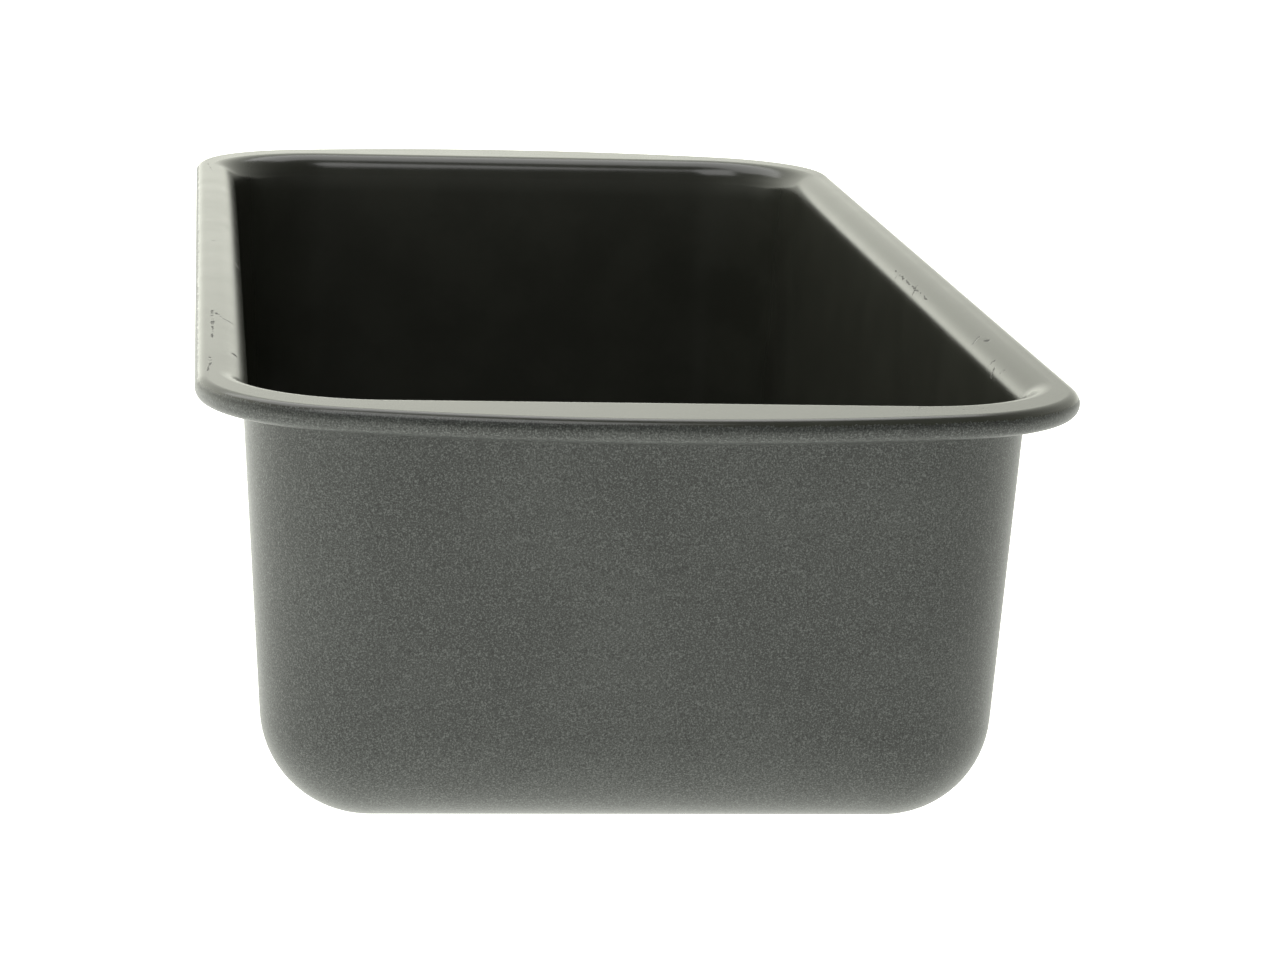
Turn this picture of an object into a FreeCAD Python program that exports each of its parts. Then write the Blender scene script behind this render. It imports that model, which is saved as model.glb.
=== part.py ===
import FreeCAD
import Part
import math
import os

# A deep-drawn steel loaf pan with a wired, rolled rim and two sprayed coats.
#
# Millimetres. X runs across the pan, Y along it, Z up. The origin is the centre of the
# underside. The pan is four pieces, laid on each other from the outside in:
#   exterior_coating   the speckled coat on the outer walls, the underside and under the rim
#   steel_shell        one drawn sheet: floor, walls, flange and the curl round the wire
#   rim_wire           the wire that the rim is rolled round
#   interior_coating   the smooth nonstick coat in the cavity and over the flange and bead
#
# Every sheet-like piece is one profile, carried round an outline of straight sides and
# arcs. A profile is drawn as points (u, z): u is the distance outwards from the outline.

# ---- driving dimensions ----
CAVITY_WIDTH = 127.0        # between the inner walls, where they would meet the rim's plane
CAVITY_LENGTH = 305.0
CAVITY_CORNER = 21.0        # upright corners, at the same level
WALL_DRAFT = 3.6            # degrees that each wall leans out from upright
BASE_FILLET = 17.8          # outside radius from the underside to the wall
LIP_FILLET = 5.1            # top surface radius from the flange down into the cavity

RIM_WIDTH = 144.0           # over the bead
RIM_LENGTH = 344.0          # over the bead, at the middle of the bowed ends
RIM_HEIGHT = 73.6           # underside to the top of the rim
RIM_CORNER = 28.0           # to the middle of the bead
END_BOW = 180.0             # radius of the bowed ends, to the middle of the bead
BEAD = 4.0                  # outside diameter of the rolled bead

SHEET = 0.7                 # steel
COAT = 0.1                  # each coat, drawn about three times thicker than it is sprayed
WIRE_PLAY = 0.05            # gap between the wire and the curl
WIRE_BUTT_GAP = 1.0         # where the ends of the wire meet, at the middle of one long side

CURL_END = 150.0            # degrees: the curl runs from the top of the bead, out and under
COAT_MEET = 35.0            # degrees above level on the bead's outside, where the coats meet
PAINT_BRIDGE_END = 144.0    # degrees: the outer coat closes the crack between curl and flange

# ---- sizes that follow ----
WALL = SHEET + 2 * COAT
DRAFT = math.radians(WALL_DRAFT)
BEAD_R = BEAD / 2
BEAD_Z = RIM_HEIGHT - BEAD_R
CURL_OUT_R = BEAD_R - COAT
CURL_IN_R = CURL_OUT_R - SHEET
LIP_OUT_R = LIP_FILLET - WALL

# Height of the wall between its two fillets, on the outside, measured along its slope.
LIP_CENTRE_Z = RIM_HEIGHT - LIP_FILLET
WALL_RUN = (LIP_CENTRE_Z + LIP_OUT_R * math.sin(DRAFT)
            - BASE_FILLET * (1 - math.sin(DRAFT))) / math.cos(DRAFT)
# The lip fillet's centre, which is also where the flat flange starts.
LIP_U = (BASE_FILLET + LIP_OUT_R) * math.cos(DRAFT) + WALL_RUN * math.sin(DRAFT)


def inner_wall_u(z):
    """How far the inner wall stands outside the flat floor's edge, at height z."""
    radius = BASE_FILLET - WALL
    foot_z = BASE_FILLET - radius * math.sin(DRAFT)
    return radius * math.cos(DRAFT) + (z - foot_z) * math.tan(DRAFT)


# The flat floor's edge is the outline that the tub's profile is carried round.
FLOOR_HALF_X = CAVITY_WIDTH / 2 - inner_wall_u(RIM_HEIGHT)
FLOOR_HALF_Y = CAVITY_LENGTH / 2 - inner_wall_u(RIM_HEIGHT)
FLOOR_CORNER = CAVITY_CORNER - inner_wall_u(RIM_HEIGHT)

# The rim's outline, along the middle of the bead: straight long sides, bowed ends.
RIM_HALF_X = RIM_WIDTH / 2 - BEAD_R
RIM_HALF_Y = RIM_LENGTH / 2 - BEAD_R
BOW_CENTRE_Y = RIM_HALF_Y - END_BOW
RIM_CORNER_X = RIM_HALF_X - RIM_CORNER
RIM_CORNER_Y = BOW_CENTRE_Y + math.sqrt((END_BOW - RIM_CORNER) ** 2 - RIM_CORNER_X ** 2)
BOW_START = math.degrees(math.atan2(RIM_CORNER_Y - BOW_CENTRE_Y, RIM_CORNER_X))


# ---- outlines: anticlockwise lists of straight runs and arcs ----
def vec(x, y, z=0.0):
    return FreeCAD.Vector(x, y, z)


def on_circle(centre, radius, degrees):
    angle = math.radians(degrees)
    return centre + vec(radius * math.cos(angle), radius * math.sin(angle))


def join_arcs(arcs):
    """Closes a ring of arcs, each tangent to the next, with the straight runs between them."""
    outline = []
    for k, (centre, radius, start, end) in enumerate(arcs):
        outline.append(("arc", centre, radius, start, end))
        next_centre, next_radius, next_start, _ = arcs[(k + 1) % len(arcs)]
        here = on_circle(centre, radius, end)
        there = on_circle(next_centre, next_radius, next_start)
        if here.distanceToPoint(there) > 1e-6:
            outline.append(("run", here, there, end))
    return outline


def tub_outline(offset=0.0):
    """A rounded rectangle: the flat floor's edge, moved outwards by offset."""
    x = FLOOR_HALF_X - FLOOR_CORNER
    y = FLOOR_HALF_Y - FLOOR_CORNER
    radius = FLOOR_CORNER + offset
    corners = [vec(x, y), vec(-x, y), vec(-x, -y), vec(x, -y)]
    return join_arcs([(c, radius, 90 * k, 90 * (k + 1)) for k, c in enumerate(corners)])


def rim_outline(offset=0.0):
    """The middle of the bead, moved outwards by offset."""
    radius = RIM_CORNER + offset
    bow = END_BOW + offset
    x, y = RIM_CORNER_X, RIM_CORNER_Y
    back, front = vec(0, BOW_CENTRE_Y), vec(0, -BOW_CENTRE_Y)
    return join_arcs([
        (vec(x, y), radius, 0, BOW_START),
        (back, bow, BOW_START, 180 - BOW_START),
        (vec(-x, y), radius, 180 - BOW_START, 180),
        (vec(-x, -y), radius, 180, 180 + BOW_START),
        (front, bow, 180 + BOW_START, 360 - BOW_START),
        (vec(x, -y), radius, 360 - BOW_START, 360),
    ])


def outline_wire(outline):
    edges = []
    for piece in outline:
        if piece[0] == "run":
            edges.append(Part.makeLine(piece[1], piece[2]))
        else:
            _, centre, radius, start, end = piece
            points = [on_circle(centre, radius, a) for a in (start, (start + end) / 2, end)]
            edges.append(Part.Arc(*points).toShape())
    return Part.Wire(edges)


# ---- profiles: closed wires of (u, z) points ----
def line(a, b):
    return ("line", a, b)


def bend(centre, radius, start, end):
    return ("bend", centre, radius, start, end)


def polar(centre, radius, degrees):
    angle = math.radians(degrees)
    return (centre[0] + radius * math.cos(angle), centre[1] + radius * math.sin(angle))


def profile_face(pieces, u0):
    """The profile as a face in the XZ plane, with its outline at x = u0."""
    def at(point):
        return vec(u0 + point[0], 0, point[1])

    edges = []
    for piece in pieces:
        if piece[0] == "line":
            edges.append(Part.makeLine(at(piece[1]), at(piece[2])))
        else:
            _, centre, radius, start, end = piece
            points = [at(polar(centre, radius, a)) for a in (start, (start + end) / 2, end)]
            edges.append(Part.Arc(*points).toShape())
    return Part.Face(Part.Wire(edges))


def carry(pieces, outline):
    """The solids that a profile makes when it is carried round an outline."""
    solids = []
    up = vec(0, 0, 1)
    for part in outline:
        if part[0] == "run":
            _, start, end, outwards = part
            face = profile_face(pieces, 0.0)
            face.rotate(vec(0, 0), up, outwards)
            face.translate(start)
            solids.append(face.extrude(end - start))
        else:
            _, centre, radius, start, end = part
            face = profile_face(pieces, radius)
            face.rotate(vec(0, 0), up, start)
            face.translate(centre)
            solids.append(face.revolve(centre, up, end - start))
    return solids


def wall_layer(low, high):
    """Floor edge to flange, between two distances in from the pan's outer surface."""
    base = (0.0, BASE_FILLET)
    lip = (LIP_U, LIP_CENTRE_Z)
    foot, brow = -WALL_DRAFT, 180 - WALL_DRAFT
    base_low, base_high = BASE_FILLET - low, BASE_FILLET - high
    lip_low, lip_high = LIP_OUT_R + low, LIP_OUT_R + high
    return [
        bend(base, base_low, -90, foot),
        line(polar(base, base_low, foot), polar(lip, lip_low, brow)),
        bend(lip, lip_low, brow, 90),
        line(polar(lip, lip_low, 90), polar(lip, lip_high, 90)),
        bend(lip, lip_high, 90, brow),
        line(polar(lip, lip_high, brow), polar(base, base_high, foot)),
        bend(base, base_high, foot, -90),
        line(polar(base, base_high, -90), polar(base, base_low, -90)),
    ]


def bead_layer(inner, outer, start, end):
    """Part of a ring round the bead's centre, from angle start down round to angle end."""
    centre = (0.0, BEAD_Z)
    return [
        bend(centre, outer, start, end),
        line(polar(centre, outer, end), polar(centre, inner, end)),
        bend(centre, inner, end, start),
        line(polar(centre, inner, start), polar(centre, outer, start)),
    ]


def floor_layer(low, high):
    plate = Part.Face(outline_wire(tub_outline()))
    plate.translate(vec(0, 0, low))
    return plate.extrude(vec(0, 0, high - low))


def flange_layer(low, high, outer_offset=0.0):
    """The flat flange between two distances in from the pan's outer surface."""
    hole = Part.Face(outline_wire(tub_outline(LIP_U)))
    plate = Part.Face(outline_wire(rim_outline(outer_offset))).cut(hole)
    plate.translate(vec(0, 0, RIM_HEIGHT - WALL + low))
    return plate.extrude(vec(0, 0, high - low))


def whole(solids):
    """One solid from pieces that meet face to face."""
    return solids[0].fuse(solids[1:]).removeSplitter()


# ---- the four pieces ----
def pan_layer(low, high, flange_outer, bead_pieces):
    return whole([floor_layer(low, high), flange_layer(low, high, flange_outer)]
                 + carry(wall_layer(low, high), tub_outline())
                 + carry(bead_pieces, rim_outline()))


def make_exterior_coating():
    # Under the flange the coat ends against the curl, in the crack that the paint closes.
    crack = math.sqrt(CURL_OUT_R ** 2 - CURL_IN_R ** 2)
    bead = bead_layer(CURL_OUT_R, BEAD_R, COAT_MEET, PAINT_BRIDGE_END - 360)
    return pan_layer(0.0, COAT, -crack, bead)


def make_steel_shell():
    curl = bead_layer(CURL_IN_R, CURL_OUT_R, 90, CURL_END - 360)
    return pan_layer(COAT, COAT + SHEET, 0.0, curl)


def make_interior_coating():
    bead = bead_layer(CURL_OUT_R, BEAD_R, 90, COAT_MEET)
    return pan_layer(COAT + SHEET, WALL, 0.0, bead)


def make_rim_wire():
    radius = CURL_IN_R - WIRE_PLAY
    centre = (0.0, BEAD_Z)
    ring = whole(carry([bend(centre, radius, 0, 180), bend(centre, radius, 180, 360)],
                       rim_outline()))
    gap = Part.makeBox(BEAD, WIRE_BUTT_GAP, BEAD)
    gap.translate(vec(-RIM_HALF_X - BEAD_R, -WIRE_BUTT_GAP / 2, BEAD_Z - BEAD_R))
    return ring.cut(gap)


PIECES = {
    "exterior_coating": make_exterior_coating,
    "steel_shell": make_steel_shell,
    "rim_wire": make_rim_wire,
    "interior_coating": make_interior_coating,
}

os.makedirs("parts", exist_ok=True)
for name, make in PIECES.items():
    shape = make()
    if len(shape.Solids) == 1:
        shape = shape.Solids[0]
    box = shape.optimalBoundingBox()
    print(f"{name}: {shape.ShapeType}, valid {shape.isValid()}, volume {shape.Volume:.0f} mm3, "
          f"z {box.ZMin:.2f} to {box.ZMax:.2f}, {box.XLength:.2f} x {box.YLength:.2f}")
    shape.exportStep(f"parts/{name}.step")
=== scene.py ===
import math

import bmesh
import bpy
from mathutils import Matrix, Vector


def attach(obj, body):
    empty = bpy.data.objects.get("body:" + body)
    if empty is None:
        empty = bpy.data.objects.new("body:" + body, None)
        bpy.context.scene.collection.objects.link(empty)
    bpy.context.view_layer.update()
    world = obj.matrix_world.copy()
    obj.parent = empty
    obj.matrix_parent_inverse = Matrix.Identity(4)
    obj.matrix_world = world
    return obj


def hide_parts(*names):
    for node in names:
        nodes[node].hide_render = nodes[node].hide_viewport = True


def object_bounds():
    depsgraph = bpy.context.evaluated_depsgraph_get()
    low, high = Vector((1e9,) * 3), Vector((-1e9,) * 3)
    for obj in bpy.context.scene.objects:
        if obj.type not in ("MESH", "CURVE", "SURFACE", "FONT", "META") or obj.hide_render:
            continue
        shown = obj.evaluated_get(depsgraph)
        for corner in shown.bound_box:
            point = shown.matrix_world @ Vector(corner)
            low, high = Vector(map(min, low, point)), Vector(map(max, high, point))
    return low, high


# A nonstick loaf pan. The steel shell and the wire are the CAD nodes. The two sprayed coats are
# built again here, much finer than the CAD nodes they stand for, because they are the surface that
# is seen. Sizes are the CAD model's, in millimetres. Object coordinates are the row frame's metres.

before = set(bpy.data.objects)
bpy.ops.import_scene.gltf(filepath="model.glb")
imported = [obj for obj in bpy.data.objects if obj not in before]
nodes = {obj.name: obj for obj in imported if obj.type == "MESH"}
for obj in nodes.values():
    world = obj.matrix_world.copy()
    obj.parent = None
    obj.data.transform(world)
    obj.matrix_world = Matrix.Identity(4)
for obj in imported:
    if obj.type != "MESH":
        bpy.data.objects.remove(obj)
cad_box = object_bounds()
scene = bpy.context.scene

MM = 0.001

# ---- driving sizes, as in the CAD model; the rim's own come from the frame's box ----
CAVITY_WIDTH, CAVITY_LENGTH, CAVITY_CORNER = 127.0, 305.0, 21.0
WALL_DRAFT = math.radians(3.6)
BASE_FILLET = 17.8
LIP_FILLET = 5.1
RIM_CORNER = 28.0
END_BOW = 180.0
BEAD_R = 2.0
SHEET, COAT = 0.7, 0.1
COAT_MEET = 35.0                      # degrees above level on the bead's outside
PAINT_BRIDGE_END = 144.0 - 360.0      # degrees: where the outer coat closes the curl's crack

low, high = cad_box
RIM_HEIGHT = high.z / MM
RIM_HALF_X = high.x / MM - BEAD_R     # to the middle of the bead
RIM_HALF_Y = high.y / MM - BEAD_R

WALL = SHEET + 2 * COAT
BEAD_Z = RIM_HEIGHT - BEAD_R
CRACK = math.sqrt((BEAD_R - COAT) ** 2 - (BEAD_R - COAT - SHEET) ** 2)

# ---- sizes that follow ----
LIP_OUT_R = LIP_FILLET - WALL
LIP_Z = RIM_HEIGHT - LIP_FILLET
SIN, COS, TAN = math.sin(WALL_DRAFT), math.cos(WALL_DRAFT), math.tan(WALL_DRAFT)
WALL_RUN = (LIP_Z + LIP_OUT_R * SIN - BASE_FILLET * (1 - SIN)) / COS
LIP_U = (BASE_FILLET + LIP_OUT_R) * COS + WALL_RUN * SIN
INNER_R = BASE_FILLET - WALL
RIM_WALL_U = INNER_R * COS + (RIM_HEIGHT - BASE_FILLET + INNER_R * SIN) * TAN
FLOOR_X = CAVITY_WIDTH / 2 - RIM_WALL_U
FLOOR_Y = CAVITY_LENGTH / 2 - RIM_WALL_U
FLOOR_R = CAVITY_CORNER - RIM_WALL_U

BOW_Y = RIM_HALF_Y - END_BOW
CORNER_X = RIM_HALF_X - RIM_CORNER
CORNER_Y = BOW_Y + math.sqrt((END_BOW - RIM_CORNER) ** 2 - CORNER_X ** 2)
BOW_START = math.atan2(CORNER_Y - BOW_Y, CORNER_X)

# ---- outlines: one list of stations round the pan, each with its place on the tub and the rim ----
SIDE_STEPS, CORNER_STEPS, END_STEPS = 56, 30, 44
SHARP_EDGE = math.radians(40)


def arc(centre, radius, start, end, steps):
    """(point, outward direction) along an arc, without its last point."""
    found = []
    for k in range(steps):
        a = start + (end - start) * k / steps
        out = Vector((math.cos(a), math.sin(a)))
        found.append((Vector(centre) + out * radius, out))
    return found


def run(start, end, out, steps):
    return [(Vector(start).lerp(Vector(end), k / steps), Vector(out)) for k in range(steps)]


def tub_stations():
    x, y, half = FLOOR_X - FLOOR_R, FLOOR_Y - FLOOR_R, math.pi / 2
    found = []
    for k, (sx, sy) in enumerate(((1, 1), (-1, 1), (-1, -1), (1, -1))):
        found += arc((sx * x, sy * y), FLOOR_R, k * half, (k + 1) * half, CORNER_STEPS)
        here, out = (sx * x, sy * y), Vector((math.cos((k + 1) * half), math.sin((k + 1) * half)))
        nx, ny = ((-1, 1), (-1, -1), (1, -1), (1, 1))[k]
        start = Vector(here) + out * FLOOR_R
        end = Vector((nx * x, ny * y)) + out * FLOOR_R
        found += run(start, end, out, SIDE_STEPS if k % 2 else END_STEPS)
    return found


def rim_stations():
    x, y, b = CORNER_X, CORNER_Y, BOW_START
    side = RIM_HALF_X
    found = arc((x, y), RIM_CORNER, 0, b, CORNER_STEPS)
    found += arc((0, BOW_Y), END_BOW, b, math.pi - b, END_STEPS)
    found += arc((-x, y), RIM_CORNER, math.pi - b, math.pi, CORNER_STEPS)
    found += run((-side, y), (-side, -y), (-1, 0), SIDE_STEPS)
    found += arc((-x, -y), RIM_CORNER, math.pi, math.pi + b, CORNER_STEPS)
    found += arc((0, -BOW_Y), END_BOW, math.pi + b, 2 * math.pi - b, END_STEPS)
    found += arc((x, -y), RIM_CORNER, 2 * math.pi - b, 2 * math.pi, CORNER_STEPS)
    found += run((side, -y), (side, y), (1, 0), SIDE_STEPS)
    return found


TUB, RIM = tub_stations(), rim_stations()


# ---- profiles: lists of (which outline, distance out from it, height) ----
def bend(path, centre, radius, start, end, steps):
    found = []
    for k in range(steps + 1):
        a = math.radians(start + (end - start) * k / steps)
        found.append((path, centre[0] + radius * math.cos(a), centre[1] + radius * math.sin(a)))
    return found


def tub_side(depth, lip_steps=10, base_steps=18, wall_steps=16):
    """From the floor's edge up to the flange's inner edge, depth in from the pan's outer surface."""
    draft = math.degrees(WALL_DRAFT)
    base = bend("tub", (0, BASE_FILLET), BASE_FILLET - depth, -90, -draft, base_steps)
    lip = bend("tub", (LIP_U, LIP_Z), LIP_OUT_R + depth, 180 - draft, 90, lip_steps)
    (_, u0, z0), (_, u1, z1) = base[-1], lip[0]
    wall = [("tub", u0 + (u1 - u0) * k / wall_steps, z0 + (z1 - z0) * k / wall_steps)
            for k in range(1, wall_steps)]
    return base + wall + lip


def on_outline(station, path, u, z):
    point, out = (TUB if path == "tub" else RIM)[station]
    spot = point + out * u
    return Vector((spot.x, spot.y, z))


def place(station, entry):
    """A profile's point at a station. A flange point lies a share of the way from lip to rim."""
    if entry[0] != "flange":
        return on_outline(station, *entry)
    _, share, z, end_u = entry
    return on_outline(station, "tub", LIP_U, z).lerp(on_outline(station, "rim", end_u, z), share)


def add_rings(bm, profile):
    return [[bm.verts.new(place(k, entry) * MM) for k in range(len(RIM))] for entry in profile]


def skin_between(bm, ring_a, ring_b):
    n = len(ring_a)
    for k in range(n):
        bm.faces.new((ring_a[k], ring_a[(k + 1) % n], ring_b[(k + 1) % n], ring_b[k]))


def floor_fill(bm, ring):
    """Closes the flat floor. A narrow ring first keeps the fillet's shading off its one big face."""
    middle = sum((v.co for v in ring), Vector()) / len(ring)
    inner = [bm.verts.new(middle.lerp(v.co, 0.97)) for v in ring]
    for v in inner:
        v.co.z = ring[0].co.z
    skin_between(bm, ring, inner)
    bm.faces.new(inner)


def coat_piece(name, seen, hidden):
    """A closed layer: the seen profile and the one that lies on the steel, from floor to far edge."""
    bm = bmesh.new()
    faces_seen = add_rings(bm, seen)
    faces_hidden = add_rings(bm, hidden)
    for rings in (faces_seen, faces_hidden):
        for a, b in zip(rings, rings[1:]):
            skin_between(bm, a, b)
        floor_fill(bm, rings[0])
    skin_between(bm, faces_seen[-1], faces_hidden[-1])
    bmesh.ops.recalc_face_normals(bm, faces=bm.faces)
    mesh = bpy.data.meshes.new(name)
    bm.to_mesh(mesh)
    bm.free()
    mesh.shade_smooth()
    mesh.set_sharp_from_angle(angle=SHARP_EDGE)
    piece = bpy.data.objects.new(name, mesh)
    scene.collection.objects.link(piece)
    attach(piece, "root")
    return piece


def flange_steps(z, end_u):
    """Flat rings from the lip line, which follows the tub, out to the rim's line at end_u."""
    return [("flange", share, z, end_u) for share in (0.02, 0.06, 0.25, 0.5, 0.75, 0.94, 0.98)]


BEAD_C = (0.0, BEAD_Z)
TOP = RIM_HEIGHT
UNDER = RIM_HEIGHT - WALL
INNER_BEAD_STEPS, OUTER_BEAD_STEPS = 12, 48

interior_seen = (tub_side(WALL) + flange_steps(TOP, 0.0)
                 + bend("rim", BEAD_C, BEAD_R, 90, COAT_MEET, INNER_BEAD_STEPS))
interior_hidden = (tub_side(WALL - COAT) + flange_steps(TOP - COAT, 0.0)
                   + bend("rim", BEAD_C, BEAD_R - COAT, 90, COAT_MEET, INNER_BEAD_STEPS))
exterior_seen = (tub_side(0.0) + flange_steps(UNDER, -CRACK)
                 + bend("rim", BEAD_C, BEAD_R, PAINT_BRIDGE_END, COAT_MEET, OUTER_BEAD_STEPS))
exterior_hidden = (tub_side(COAT) + flange_steps(UNDER + COAT, -CRACK)
                   + bend("rim", BEAD_C, BEAD_R - COAT, PAINT_BRIDGE_END, COAT_MEET, OUTER_BEAD_STEPS))
interior = coat_piece("nonstick_skin", interior_seen, interior_hidden)
exterior = coat_piece("speckled_skin", exterior_seen, exterior_hidden)
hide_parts("interior_coating")
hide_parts("exterior_coating")

# ---- node building ----


class Graph:
    """Short calls for a material's nodes. A value is a number, a tuple or another node's output."""

    def __init__(self, name):
        self.mat = bpy.data.materials.new(name)
        self.mat.use_nodes = True
        self.tree = self.mat.node_tree
        self.tree.nodes.clear()
        self.out = self.tree.nodes.new("ShaderNodeOutputMaterial")
        self.bsdf = self.tree.nodes.new("ShaderNodeBsdfPrincipled")
        self.tree.links.new(self.bsdf.outputs[0], self.out.inputs["Surface"])
        self.place = self.node("ShaderNodeTexCoord").outputs["Object"]

    def node(self, kind, **settings):
        made = self.tree.nodes.new(kind)
        for key, value in settings.items():
            setattr(made, key, value)
        return made

    def put(self, socket, value):
        if isinstance(value, bpy.types.NodeSocket):
            self.tree.links.new(value, socket)
        else:
            socket.default_value = value

    def shader(self, name, value):
        self.put(self.bsdf.inputs[name], value)

    def math(self, operation, a, b=0.0, c=0.0, clamp=False):
        made = self.node("ShaderNodeMath", operation=operation, use_clamp=clamp)
        for socket, value in zip(made.inputs, (a, b, c)):
            self.put(socket, value)
        return made.outputs[0]

    def vector(self, operation, a, b=(0, 0, 0), scale=None):
        made = self.node("ShaderNodeVectorMath", operation=operation)
        self.put(made.inputs[0], a)
        self.put(made.inputs[1], b)
        if scale is not None:
            self.put(made.inputs["Scale"], scale)
        single = operation in ("DOT_PRODUCT", "LENGTH", "DISTANCE")
        return made.outputs["Value"] if single else made.outputs[0]

    def noise(self, size, detail=2.0, stretch=(1, 1, 1), shift=(0, 0, 0), rough=0.5):
        """Noise whose largest features are about size across, in metres."""
        spot = self.vector("MULTIPLY", self.vector("ADD", self.place, shift), stretch)
        made = self.node("ShaderNodeTexNoise")
        self.put(made.inputs["Vector"], spot)
        self.put(made.inputs["Scale"], 1.0 / size)
        self.put(made.inputs["Detail"], detail)
        self.put(made.inputs["Roughness"], rough)
        return made.outputs["Fac"]

    def ramp(self, value, start, end, low=0.0, high=1.0):
        made = self.node("ShaderNodeMapRange", clamp=True)
        made.interpolation_type = "SMOOTHSTEP"
        for socket, number in zip(made.inputs, (value, start, end, low, high)):
            self.put(socket, number)
        return made.outputs[0]

    def mix(self, share, a, b):
        made = self.node("ShaderNodeMix", data_type="RGBA")
        self.put(made.inputs[0], share)
        self.put(made.inputs[6], a)
        self.put(made.inputs[7], b)
        return made.outputs[2]

    def bump(self, height, depth, strength=1.0, under=None):
        """A bump of depth metres where height goes from 0 to 1."""
        made = self.node("ShaderNodeBump")
        self.put(made.inputs["Strength"], strength)
        self.put(made.inputs["Distance"], depth)
        self.put(made.inputs["Height"], height)
        if under is not None:
            self.tree.links.new(under, made.inputs["Normal"])
        return made.outputs[0]

    def xyz(self):
        made = self.node("ShaderNodeSeparateXYZ")
        self.tree.links.new(self.place, made.inputs[0])
        return made.outputs

    def stroke(self, start, end, width, spot):
        """1 on a stroke between two points and 0 a little off it. Points and width in millimetres."""
        a, b = Vector(start) * MM, Vector(end) * MM
        along = b - a
        length = max(along.length, 1e-6)
        away = self.vector("SUBTRACT", spot, tuple(a))
        t = self.math("DIVIDE", self.vector("DOT_PRODUCT", away, tuple(along / length)), length, clamp=True)
        foot = self.vector("SCALE", tuple(along), scale=t)
        off = self.vector("DISTANCE", away, foot)
        return self.ramp(off, width * MM * 0.3, width * MM * 0.75, 1.0, 0.0)


def grey(value, tint=(1.0, 1.0, 1.0)):
    return (value * tint[0], value * tint[1], value * tint[2], 1.0)


# ---- the two coats ----

WARM = (1, 1.03, 0.84)               # the nonstick coat's tint, a little green and yellow
COOL = (0.97, 1.03, 1.0)             # the outer coat's

# Wear on the flange and its lip. Each mark runs between two places, in millimetres: how far in
# from the middle of the bead, and how far along from the near end. The last number is its width.
LEFT_WEAR = [
    (1.0, 98, 1.0, 82, 0.6),         # a long ragged scratch with a branch across the flange
    (1.0, 84, 1.0, 69, 0.35),
    (1.5, 96, 2.5, 90, 0.55),
    (2.5, 90, 4.5, 89, 0.4),
    (0.5, 50, 0.5, 43, 0.45),        # a short one nearer the end, and chips
    (0.5, 43, 0.0, 37, 0.35),
    (2.5, 56, 3.0, 55, 0.5),
    (4.5, 58, 4.5, 57, 0.9),
    (1.5, 182, 1.5, 183, 0.9),       # a pit half way along, and a nick in the lip
    (6.0, 166, 6.0, 165, 0.6),
    (0.5, 305, 1.5, 292, 0.3),
]
RIGHT_WEAR = [
    (5.5, 169, 5.5, 133, 0.22),      # a fine scratch along the lip, crossed by a short one
    (6.0, 145, 5.0, 147, 0.45),
    (6.0, 165, 5.5, 165, 0.5),
    (5.5, 85, 4.5, 86, 0.45),        # chips towards the near end
    (4.5, 84, 4.0, 80, 0.6),
    (6.0, 67, 5.5, 66, 0.4),
    (6.0, 58, 5.5, 57, 0.4),
    (6.5, 63, 6.5, 62, 0.8),
]


def side_marks(side, marks):
    """(start x, y, end x, y, width) of the marks on the left side, -1, or the right side, 1."""
    return [(side * (RIM_HALF_X - in_0), along_0 - RIM_HALF_Y, side * (RIM_HALF_X - in_1),
             along_1 - RIM_HALF_Y, width) for in_0, along_0, in_1, along_1, width in marks]


WEAR = side_marks(-1, LEFT_WEAR) + side_marks(1, RIGHT_WEAR)
WEAR += [(x, y, x + 0.4, y, 0.5) for x, y in ((42, -158.5), (49, -159.5), (52, -158))]


WEAR_DEPTH = 4.0                     # below the rim's top; no mark lies lower


def wear_mask(g, marks):
    """1 in the marks."""
    # The marks' edges wander a little, so that they aren't ruled lines.
    drift = g.node("ShaderNodeTexNoise")
    g.put(drift.inputs["Vector"], g.place)
    g.put(drift.inputs["Scale"], 1.0 / (1.2 * MM))
    g.put(drift.inputs["Detail"], 3.0)
    moved = g.vector("SUBTRACT", drift.outputs["Color"], (0.5, 0.5, 0.5))
    spot = g.vector("MULTIPLY", g.vector("ADD", g.place, g.vector("SCALE", moved, scale=0.8 * MM)), (1, 1, 0))
    total = None
    for x0, y0, x1, y1, width in marks:
        mark = g.stroke((x0, y0, 0), (x1, y1, 0), width, spot)
        total = mark if total is None else g.math("MAXIMUM", total, mark)
    near_top = g.math("GREATER_THAN", g.xyz()[2], (RIM_HEIGHT - WEAR_DEPTH) * MM)
    broken = g.ramp(g.noise(1.7 * MM, 3.0, shift=(3 * MM, 0, 0)), 0.42, 0.56, 0.15, 0.9)
    return g.math("MULTIPLY", g.math("MULTIPLY", total, near_top), broken)


def nonstick_look(g):
    """(colour, roughness, normal) of the satin coat, without its wear."""
    cloud = g.noise(14 * MM, 3.0)
    grain = g.noise(0.35 * MM, 2.0)
    tone = g.mix(g.ramp(cloud, 0.35, 0.68), grey(0.028, WARM), grey(0.034, WARM))
    rough = g.math("MULTIPLY_ADD", grain, 0.04, g.math("MULTIPLY_ADD", cloud, 0.07, 0.15))
    normal = g.bump(g.noise(1.4 * MM, 2.0), 0.008 * MM, 0.5)
    return tone, rough, g.bump(grain, 0.003 * MM, 0.5, normal)


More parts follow.
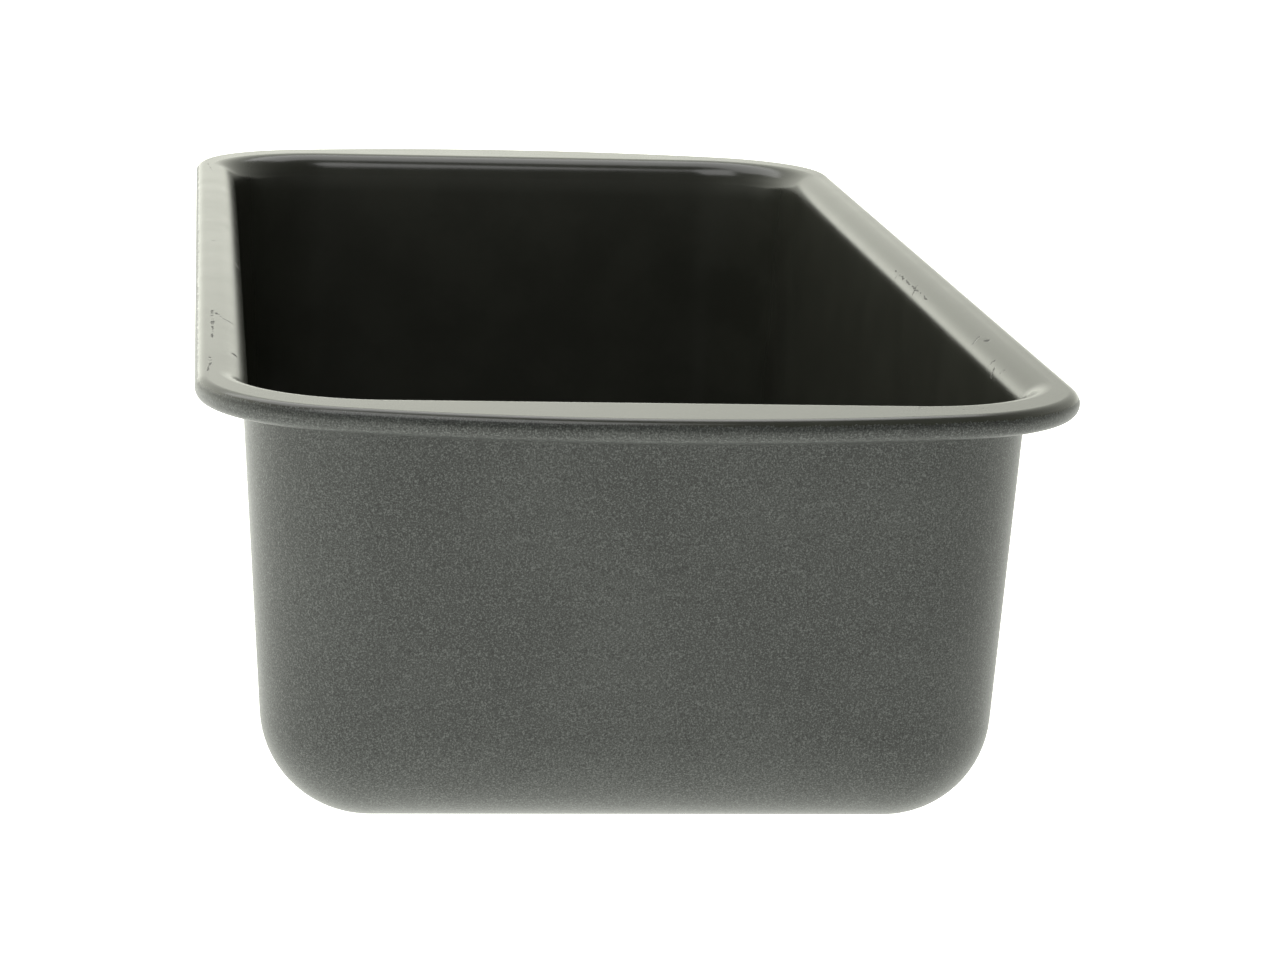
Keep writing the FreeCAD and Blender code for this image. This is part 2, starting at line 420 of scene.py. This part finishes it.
def speckled_look(g):
    """(colour, roughness, normal, metallic) of the outer coat: light and dark grains in grey."""
    cloud = g.noise(22 * MM, 3.0)
    grain = g.noise(0.30 * MM, 1.5, rough=0.6)
    fine = g.noise(0.18 * MM, 1.0, shift=(5 * MM, 0, 0))
    blend = g.math("MULTIPLY_ADD", fine, 0.45, g.math("MULTIPLY", grain, 0.55))
    ground = g.mix(g.ramp(cloud, 0.3, 0.7), grey(0.024, COOL), grey(0.033, COOL))
    tone = g.mix(g.ramp(blend, 0.49, 0.66), ground, grey(0.092, (0.97, 1.02, 1.0)))
    tone = g.mix(g.ramp(blend, 0.47, 0.36), tone, grey(0.009, (0.99, 1.02, 1.0)))
    rough = g.math("MULTIPLY_ADD", g.noise(0.5 * MM, 2.0), 0.14, 0.34)
    normal = g.bump(g.noise(0.45 * MM, 3.0), 0.025 * MM, 0.6)
    return tone, rough, normal, g.ramp(blend, 0.56, 0.70, 0.0, 0.3)


# Heights of the line where the coats meet, from its angle round the bead at each side.
LINE_LEFT = (BEAD_Z + BEAD_R * math.sin(math.radians(44))) * MM
LINE_RIGHT = (BEAD_Z + BEAD_R * math.sin(math.radians(29))) * MM


def outer_share(g):
    """1 where the outer coat shows, and 0 where the nonstick coat does, on the bead's outside.

    The line between them is lower at the right of the front end than at its left, and is a
    ragged edge of spray rather than a mask's line."""
    x, _, z = g.xyz()
    tilt = g.ramp(x, -0.9 * RIM_HALF_X * MM, 0.9 * RIM_HALF_X * MM, LINE_LEFT, LINE_RIGHT)
    wander = g.math("MULTIPLY_ADD", g.noise(4 * MM, 2.0), 0.5 * MM, -0.25 * MM)
    spray = g.math("MULTIPLY_ADD", g.noise(0.3 * MM, 2.0), 1.1 * MM, -0.55 * MM)
    line = g.math("ADD", g.math("ADD", tilt, wander), spray)
    return g.ramp(g.math("SUBTRACT", z, line), 0.10 * MM, -0.10 * MM)


def faces_out(g):
    """1 where the surface faces away from the pan's middle, so 0 on the cavity's walls and floor."""
    normal = g.node("ShaderNodeTexCoord").outputs["Normal"]
    outwards = g.vector("DOT_PRODUCT", normal, g.vector("MULTIPLY", g.place, (1, 1, 0)))
    return g.math("GREATER_THAN", outwards, 2 * MM)


def nonstick_coat():
    g = Graph("nonstick_coat")
    tone, rough, normal = nonstick_look(g)
    outer_tone, outer_rough, _, metallic = speckled_look(g)
    outer = g.math("MULTIPLY", outer_share(g), faces_out(g))
    worn = wear_mask(g, WEAR)
    tone = g.mix(outer, g.mix(worn, tone, grey(0.02, (1.05, 1.0, 0.9))), outer_tone)
    g.shader("Base Color", tone)
    g.shader("Metallic", g.math("MULTIPLY", outer, metallic))
    worn_rough = g.math("MAXIMUM", rough, g.math("MULTIPLY", worn, 0.62))
    g.shader("Roughness", g.math("MAXIMUM", worn_rough, g.math("MULTIPLY", outer, outer_rough)))
    g.shader("IOR", 1.5)
    g.shader("Normal", g.bump(g.math("SUBTRACT", 1.0, worn), 0.05 * MM, 0.7, normal))
    return g.mat


def speckled_coat():
    g = Graph("speckled_coat")
    tone, rough, normal, metallic = speckled_look(g)
    inner_tone, inner_rough, _ = nonstick_look(g)
    z = g.xyz()[2]
    # Only the bead's upper half can show the nonstick coat.
    near_line = g.math("GREATER_THAN", z, (BEAD_Z + 0.2) * MM)
    inner = g.math("MULTIPLY", g.math("SUBTRACT", 1.0, outer_share(g)), near_line)
    g.shader("Base Color", g.mix(inner, tone, inner_tone))
    plain = g.math("SUBTRACT", 1.0, inner)
    g.shader("Metallic", g.math("MULTIPLY", plain, metallic))
    inner_part = g.math("MULTIPLY", inner, inner_rough)
    g.shader("Roughness", g.math("ADD", g.math("MULTIPLY", plain, rough), inner_part))
    g.shader("IOR", 1.37)
    g.shader("Normal", normal)
    return g.mat


def bare_steel(name, tone, along):
    g = Graph(name)
    g.shader("Metallic", 1.0)
    lines = g.noise(0.6 * MM, 3.0, stretch=along)
    g.shader("Base Color", g.mix(g.ramp(g.noise(9 * MM), 0.3, 0.7), grey(tone * 0.9), grey(tone)))
    g.shader("Roughness", g.math("MULTIPLY_ADD", lines, 0.2, 0.28))
    g.shader("Normal", g.bump(lines, 0.004 * MM, 0.5))
    return g.mat


def finish(piece, material):
    piece.data.materials.clear()
    piece.data.materials.append(material)


finish(interior, nonstick_coat())
finish(exterior, speckled_coat())
finish(nodes["steel_shell"], bare_steel("sheet_steel", 0.55, (1.0, 0.06, 1.0)))
finish(nodes["rim_wire"], bare_steel("wire_steel", 0.50, (1.0, 0.1, 1.0)))

# ---- the set: floor, sky, lamps ----

FLOOR_HALF = 6.0
FLOOR_DROP = 0.02 * MM
floor_mesh = bpy.data.meshes.new("floor")
corners = [(sx * FLOOR_HALF, sy * FLOOR_HALF, -FLOOR_DROP) for sx, sy in ((-1, -1), (1, -1), (1, 1), (-1, 1))]
floor_mesh.from_pydata(corners, [], [(0, 1, 2, 3)])
floor = bpy.data.objects.new("floor", floor_mesh)
scene.collection.objects.link(floor)
paper = Graph("floor_paper")
paper.shader("Base Color", grey(0.25))
paper.shader("Roughness", 1.0)
paper.shader("Specular IOR Level", 0.0)
paper.shader("Emission Color", grey(1.0, (0.98, 1.0, 0.92)))
# The floor glows like a light table, more at the left. The pan's lower edges mirror it.
paper.shader("Emission Strength", paper.ramp(paper.xyz()[0], -0.6, 0.4, 3.1, 1.75))
floor_mesh.materials.append(paper.mat)

world = bpy.data.worlds.new("studio")
scene.world = world
world.use_nodes = True
sky_tree = world.node_tree
sky_tree.nodes.clear()
sky_out = sky_tree.nodes.new("ShaderNodeOutputWorld")
sky = sky_tree.nodes.new("ShaderNodeBackground")
sky_tree.links.new(sky.outputs[0], sky_out.inputs["Surface"])
where = sky_tree.nodes.new("ShaderNodeTexCoord")
axes = sky_tree.nodes.new("ShaderNodeSeparateXYZ")
sky_tree.links.new(where.outputs["Generated"], axes.inputs[0])


def sky_slope(axis, start, end, at_start, at_end):
    made = sky_tree.nodes.new("ShaderNodeMapRange")
    made.interpolation_type = "SMOOTHSTEP"
    for socket, number in zip(made.inputs[1:5], (start, end, at_start, at_end)):
        socket.default_value = number
    sky_tree.links.new(axes.outputs[axis], made.inputs[0])
    return made.outputs[0]


def times(a, b):
    made = sky_tree.nodes.new("ShaderNodeMath")
    made.operation = "MULTIPLY"
    sky_tree.links.new(a, made.inputs[0])
    sky_tree.links.new(b, made.inputs[1])
    return made.outputs[0]


# Brighter behind the pan than in front of it, low down than overhead, and at the left.
behind = times(sky_slope("Y", -0.6, 0.75, 0.36, 1.45), sky_slope("Z", 0.35, 0.9, 1.0, 0.35))
behind = times(behind, sky_slope("Z", 0.08, 0.22, 1.22, 0.80))
sides = times(sky_slope("X", -0.9, -0.05, 2.0, 1.0), sky_slope("X", -0.02, 0.3, 1.0, 0.72))
sky_tree.links.new(times(behind, sides), sky.inputs["Strength"])
sky.inputs["Color"].default_value = (0.985, 1.0, 0.885, 1)


def softbox(name, spot, aim, width, height, watts):
    data = bpy.data.lights.new(name, "AREA")
    data.shape = "RECTANGLE"
    data.size, data.size_y, data.energy = width, height, watts
    lamp = bpy.data.objects.new(name, data)
    lamp.location = spot
    lamp.rotation_mode = "QUATERNION"
    lamp.rotation_quaternion = (Vector(aim) - Vector(spot)).to_track_quat("-Z", "Y")
    scene.collection.objects.link(lamp)


# One over the near end lights the far wall's inside. One over the far end lights the far lip.
softbox("softbox_over", (-0.3, -0.45, 1.4), (0, 0, 0), 0.9, 0.8, 6.5)
softbox("softbox_back", (-0.1, 0.5, 0.85), (0, 0.1, 0), 1.0, 0.7, 4.5)

# ---- the camera: near one end, in line with the left flange, looking down along the pan ----

CAM_PLACE = Vector((-72.1, -785.9, 189.2)) * MM
CAM_YAW = 0.1111
CAM_PITCH = 0.1995
CAM_ROLL = -0.0322
CAM_LENS = 115.06

forward = Vector((
    math.sin(CAM_YAW) * math.cos(CAM_PITCH), math.cos(CAM_YAW) * math.cos(CAM_PITCH), -math.sin(CAM_PITCH)))
right = Vector((math.cos(CAM_YAW), -math.sin(CAM_YAW), 0.0))
down = forward.cross(right)
right_rolled = math.cos(CAM_ROLL) * right + math.sin(CAM_ROLL) * down
down_rolled = math.cos(CAM_ROLL) * down - math.sin(CAM_ROLL) * right
turn = Matrix((right_rolled, -down_rolled, -forward)).transposed()
cam_data = bpy.data.cameras.new("camera")
cam_data.lens = CAM_LENS
cam_data.sensor_width = 36.0
cam_data.clip_start, cam_data.clip_end = 0.01, 50.0
cam = bpy.data.objects.new("camera", cam_data)
cam.matrix_world = Matrix.Translation(CAM_PLACE) @ turn.to_4x4()
scene.collection.objects.link(cam)
scene.camera = cam

scene.view_settings.view_transform = "Standard"
